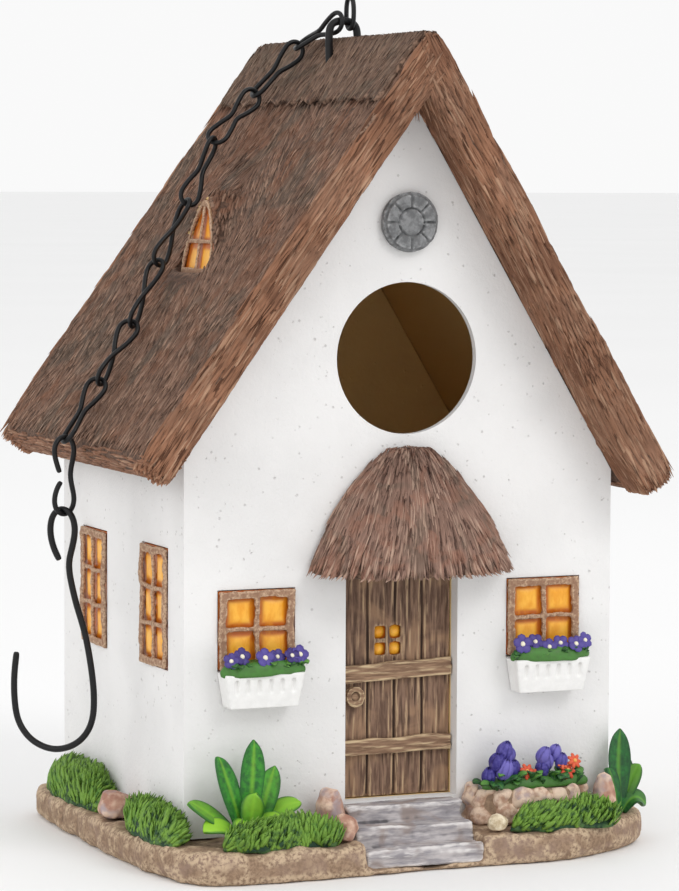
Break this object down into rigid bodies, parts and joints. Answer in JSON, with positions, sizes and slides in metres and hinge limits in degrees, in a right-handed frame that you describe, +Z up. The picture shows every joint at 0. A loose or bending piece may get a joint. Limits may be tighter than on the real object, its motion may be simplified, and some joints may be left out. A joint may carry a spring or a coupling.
{
  "type": "birdhouse",
  "caption": "Hanging birdhouse shaped like a thatched cottage, with an entrance hole in the gable, a clean-out plug and a chain with an S-hook.",
  "frame": {"origin": "middle of the underside of the base, below the middle of the house walls", "axes": "+Z up, the front with the entrance hole looks along -Y, +X is to the right seen from the front"},
  "size_m": [0.1587, 0.1222, 0.2176],
  "materials": {
    "stucco": "matt white stucco texture cast in resin",
    "thatch": "thatch strands cast in resin, brown wash",
    "ridge_thatch": "smooth combed thatch cast in resin",
    "soil": "tan earth cast in resin",
    "amber_pane": "satin amber paint",
    "twig": "weathered wood cast in resin",
    "door_wood": "dark weathered planks cast in resin",
    "batten_wood": "pale weathered wood cast in resin",
    "grey_stone": "grey carved stone cast in resin",
    "white_paint": "satin white paint",
    "step_stone": "grey slate cast in resin",
    "pink_stone": "pinkish field stone cast in resin",
    "pebble": "pale pebble cast in resin",
    "leaf": "satin green paint",
    "grass": "two-tone green paint",
    "pansy": "purple flowers over green leaves",
    "bloom": "red and blue flowers over green leaves",
    "rubber": "plain moulded rubber",
    "black_steel": "satin black coated steel wire"
  },
  "bodies": {
    "house": {"attic_window_frame": "twig", "attic_window_panes": "amber_pane", "base_plinth": "soil", "corner_plant": "leaf", "door_knob": "batten_wood", "door_leaf": "door_wood", "door_light": "amber_pane", "flower_box_left": "white_paint", "flower_box_right": "white_paint", "front_left_window_frame": "twig", "front_left_window_panes": "amber_pane", "front_right_window_frame": "twig", "front_right_window_panes": "amber_pane", "gable_rosette": "grey_stone", "grass_front_left": "grass", "grass_front_right": "grass", "grass_left_front": "grass", "grass_left_rear": "grass", "grass_right": "grass", "hanging_eye": "black_steel", "hosta": "leaf", "house_walls": "stucco", "left_front_window_frame": "twig", "left_front_window_panes": "amber_pane", "left_rear_window_frame": "twig", "left_rear_window_panes": "amber_pane", "lower_batten": "batten_wood", "pansies_left": "pansy", "pansies_right": "pansy", "pebble": "pebble", "planter_flowers": "bloom", "porch_canopy": "thatch", "ridge_cap": "ridge_thatch", "right_front_window_frame": "twig", "right_front_window_panes": "amber_pane", "right_rear_window_frame": "twig", "right_rear_window_panes": "amber_pane", "rock_left": "pink_stone", "rock_right": "pink_stone", "rock_step_lower": "pink_stone", "rock_step_upper": "pink_stone", "stepping_stones": "step_stone", "stone_planter": "pink_stone", "thatch_roof": "thatch", "upper_batten": "batten_wood"},
    "chain_link_1": {"chain_link_1": "black_steel"},
    "chain_link_2": {"chain_link_2": "black_steel"},
    "chain_link_3": {"chain_link_3": "black_steel"},
    "chain_link_4": {"chain_link_4": "black_steel"},
    "chain_link_5": {"chain_link_5": "black_steel"},
    "chain_link_6": {"chain_link_6": "black_steel"},
    "chain_link_7": {"chain_link_7": "black_steel"},
    "chain_link_8": {"chain_link_8": "black_steel"},
    "chain_link_9": {"chain_link_9": "black_steel"},
    "s_hook": {"s_hook": "black_steel"},
    "end_link": {"end_link": "black_steel"},
    "clean_out_plug": {"clean_out_plug": "rubber"}
  },
  "joints": [
    {"name": "chain_link_1_swing", "type": "hinge", "parent": "house", "child": "chain_link_1", "pos_m": [-0.0015, -0.0065, 0.2109], "axis": [0.9552, 0.2958, 0], "range_deg": [0, 100]},
    {"name": "chain_link_2_swing", "type": "hinge", "parent": "chain_link_1", "child": "chain_link_2", "pos_m": [-0.0064, 0.0094, 0.2048], "axis": [0.7156, 0.4308, 0.5499], "range_deg": [0, 18]},
    {"name": "chain_link_3_swing", "type": "hinge", "parent": "chain_link_2", "child": "chain_link_3", "pos_m": [-0.0194, 0.0078, 0.1916], "axis": [-0.0637, 0.9962, 0.0591], "range_deg": [0, 25]},
    {"name": "chain_link_4_swing", "type": "hinge", "parent": "chain_link_3", "child": "chain_link_4", "pos_m": [-0.031, 0.0045, 0.1808], "axis": [0.5688, 0.7137, -0.4087], "range_deg": [0, 25]},
    {"name": "chain_link_5_swing", "type": "hinge", "parent": "chain_link_4", "child": "chain_link_5", "pos_m": [-0.0394, 0.0021, 0.1651], "axis": [-0.0993, 0.9855, -0.1377], "range_deg": [0, 25]},
    {"name": "chain_link_6_swing", "type": "hinge", "parent": "chain_link_5", "child": "chain_link_6", "pos_m": [-0.0483, -0.001, 0.1498], "axis": [-0.4575, 0.8888, 0.0288], "range_deg": [0, 25]},
    {"name": "chain_link_7_swing", "type": "hinge", "parent": "chain_link_6", "child": "chain_link_7", "pos_m": [-0.0576, -0.0052, 0.1329], "axis": [0.5288, 0.7088, -0.4669], "range_deg": [0, 25]},
    {"name": "chain_link_8_swing", "type": "hinge", "parent": "chain_link_7", "child": "chain_link_8", "pos_m": [-0.0679, -0.0096, 0.1187], "axis": [0.4761, 0.6873, -0.5486], "range_deg": [0, 25]},
    {"name": "chain_link_9_swing", "type": "hinge", "parent": "chain_link_8", "child": "chain_link_9", "pos_m": [-0.0782, -0.0136, 0.1045], "axis": [-0.1305, 0.9748, -0.1809], "range_deg": [0, 25]},
    {"name": "s_hook_swing", "type": "hinge", "parent": "chain_link_9", "child": "s_hook", "pos_m": [-0.0786, -0.0134, 0.0863], "axis": [0.9063, 0.4226, 0], "range_deg": [0, 30]},
    {"name": "end_link_swing", "type": "hinge", "parent": "house", "child": "end_link", "pos_m": [0.0019, -0.0065, 0.2109], "axis": [1, 0, 0], "range_deg": [-15, 60]},
    {"name": "plug_pull", "type": "slide", "parent": "house", "child": "clean_out_plug", "axis": [0, 0, -1], "range_m": [0, 0.0145]}
  ]
}
